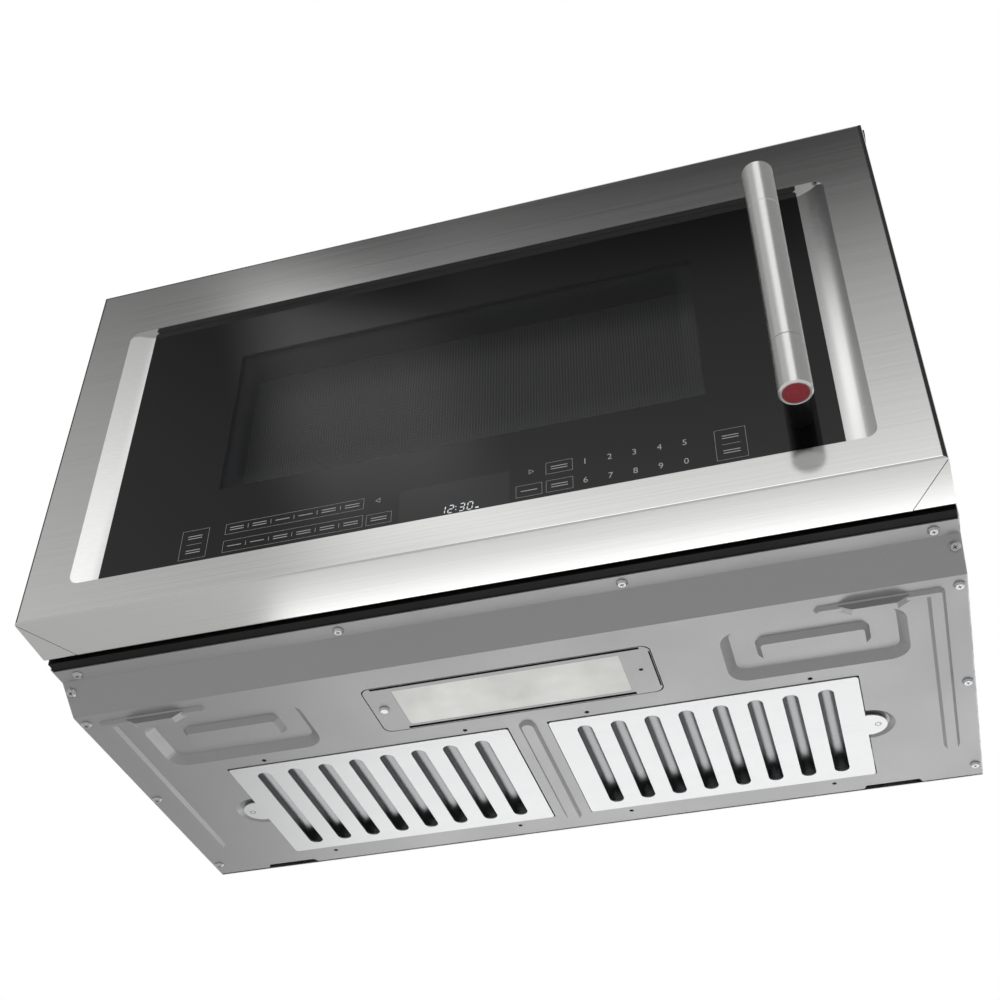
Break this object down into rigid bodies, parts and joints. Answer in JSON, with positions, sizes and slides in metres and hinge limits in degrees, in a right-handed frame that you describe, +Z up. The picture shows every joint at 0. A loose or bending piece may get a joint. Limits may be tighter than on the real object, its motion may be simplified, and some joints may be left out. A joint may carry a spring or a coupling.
{
  "type": "over-the-range microwave oven",
  "caption": "Over-the-range microwave oven with a left-hinged stainless door, printed glass, bar handle, embossed base with grease filters, and working inner parts.",
  "frame": {"origin": "centre of the wall face, on the rear panel", "axes": "+X right as seen by the user, +Y into the wall, +Z up"},
  "size_m": [0.76, 0.479, 0.442],
  "materials": {
    "stainless": "stainless sheet brushed along its length",
    "base_steel": "grey coated pressed steel",
    "galvanised": "galvanised steel sheet",
    "black_enamel": "black baked enamel",
    "cavity_enamel": "grey porcelain enamel",
    "filter_aluminium": "bare aluminium sheet",
    "tinted_glass": "tinted float glass printed black behind",
    "clear_glass": "clear glass",
    "black_plastic": "moulded black plastic",
    "white_plastic": "moulded white plastic",
    "lens_plastic": "frosted polycarbonate",
    "circuit_board": "glass-fibre circuit board",
    "satin_steel": "satin turned steel",
    "dark_steel": "dark satin coating",
    "red_enamel": "red enamel medallion in a steel rim",
    "zinc_screw": "zinc-plated steel",
    "winding": "varnished copper wire on laminated steel",
    "mica": "mica sheet",
    "heater": "sheathed heating element",
    "carbon_pad": "activated charcoal pad in mesh"
  },
  "bodies": {
    "cabinet": {"outer_wrap": "galvanised", "base_plate": "base_steel", "rear_panel": "galvanised", "front_frame": "black_enamel", "door_hinges": "galvanised", "vent_grille": "black_plastic", "charcoal_filter": "carbon_pad", "cord_grommet": "black_plastic", "base_screws": "zinc_screw", "oven_cavity": "cavity_enamel", "waveguide": "galvanised", "waveguide_cover": "mica", "magnetron": "galvanised", "hv_transformer": "winding", "hv_capacitor": "filter_aluminium", "cooling_fan_housing": "galvanised", "cooling_fan_motor": "galvanised", "convection_housing": "galvanised", "convection_heater": "heater", "convection_motor": "galvanised", "vent_blower_housing": "galvanised", "vent_blower_motor": "galvanised", "turntable_motor": "galvanised", "power_board": "circuit_board", "interlock_bracket": "galvanised", "interlock_switches": "black_plastic", "cavity_lamp": "white_plastic", "lamp_housing": "galvanised", "lamp_leds": "circuit_board"},
    "door": {"door_frame": "stainless", "door_glass": "tinted_glass", "glass_carrier": "black_plastic", "control_board": "circuit_board", "door_inner_panel": "black_enamel", "door_screen": "black_enamel", "door_inner_window": "clear_glass", "choke_cover": "black_plastic", "latch_spring": "zinc_screw", "handle_tube": "satin_steel", "handle_ferrules": "satin_steel", "handle_standoffs": "dark_steel", "handle_screws": "zinc_screw", "handle_end_caps": "red_enamel"},
    "latch_hooks": {"latch_hooks": "white_plastic"},
    "turntable": {"turntable_coupler": "white_plastic", "glass_tray": "clear_glass"},
    "roller_ring": {"roller_ring": "white_plastic"},
    "roller_1": {"roller_1": "white_plastic"},
    "roller_2": {"roller_2": "white_plastic"},
    "roller_3": {"roller_3": "white_plastic"},
    "vent_blower": {"vent_blower_wheels": "galvanised"},
    "cooling_fan": {"cooling_fan_blade": "black_plastic"},
    "convection_fan": {"convection_fan_blade": "galvanised"},
    "filter_right": {"filter_plate_right": "filter_aluminium", "filter_baffles_right": "filter_aluminium"},
    "filter_left": {"filter_plate_left": "filter_aluminium", "filter_baffles_left": "filter_aluminium"},
    "lamp_cover": {"lamp_cover": "base_steel", "lamp_lens": "lens_plastic", "lamp_cover_screw": "zinc_screw"}
  },
  "joints": [
    {"name": "door_hinge", "type": "hinge", "parent": "cabinet", "child": "door", "pos_m": [-0.3735, -0.38, 0], "axis": [0, 0, -1], "range_deg": [0, 110]},
    {"name": "latch_slide", "type": "slide", "parent": "door", "child": "latch_hooks", "axis": [0, 0, 1], "range_m": [0, 0.005], "stiffness_N_per_m": 300, "springref_m": -0.005},
    {"name": "turntable_spin", "type": "hinge", "parent": "cabinet", "child": "turntable", "pos_m": [-0.0495, -0.2073, -0.11], "axis": [0, 0, 1], "continuous": true},
    {"name": "roller_ring_spin", "type": "hinge", "parent": "cabinet", "child": "roller_ring", "pos_m": [-0.0495, -0.2073, -0.1148], "axis": [0, 0, 1], "continuous": true},
    {"name": "roller_1_spin", "type": "hinge", "parent": "roller_ring", "child": "roller_1", "pos_m": [-0.0495, -0.1073, -0.1148], "axis": [0, 1, 0], "continuous": true},
    {"name": "roller_2_spin", "type": "hinge", "parent": "roller_ring", "child": "roller_2", "pos_m": [-0.1361, -0.2573, -0.1148], "axis": [-0.866, -0.5, 0], "continuous": true},
    {"name": "roller_3_spin", "type": "hinge", "parent": "roller_ring", "child": "roller_3", "pos_m": [0.0371, -0.2573, -0.1148], "axis": [0.866, -0.5, 0], "continuous": true},
    {"name": "vent_blower_spin", "type": "hinge", "parent": "cabinet", "child": "vent_blower", "pos_m": [0, -0.062, 0.1705], "axis": [1, 0, 0], "continuous": true},
    {"name": "cooling_fan_spin", "type": "hinge", "parent": "cabinet", "child": "cooling_fan", "pos_m": [0.302, -0.088, -0.1001], "axis": [0, 1, 0], "continuous": true},
    {"name": "convection_fan_spin", "type": "hinge", "parent": "cabinet", "child": "convection_fan", "pos_m": [-0.0495, -0.0341, 0.0029], "axis": [0, 1, 0], "continuous": true},
    {"name": "filter_right_swing", "type": "hinge", "parent": "cabinet", "child": "filter_right", "pos_m": [0.0191, -0.1114, -0.2177], "axis": [0, 1, 0], "range_deg": [0, 35]},
    {"name": "filter_left_swing", "type": "hinge", "parent": "cabinet", "child": "filter_left", "pos_m": [-0.0191, -0.1114, -0.2177], "axis": [0, -1, 0], "range_deg": [0, 35]},
    {"name": "lamp_cover_swing", "type": "hinge", "parent": "cabinet", "child": "lamp_cover", "pos_m": [0.1255, -0.25, -0.2165], "axis": [0, -1, 0], "range_deg": [0, 80]}
  ],
  "couplings": [
    {"joint": "roller_ring_spin", "follows": "turntable_spin", "ratio": 0.5},
    {"joint": "roller_1_spin", "follows": "turntable_spin", "ratio": -7.1429},
    {"joint": "roller_2_spin", "follows": "turntable_spin", "ratio": -7.1429},
    {"joint": "roller_3_spin", "follows": "turntable_spin", "ratio": -7.1429}
  ]
}
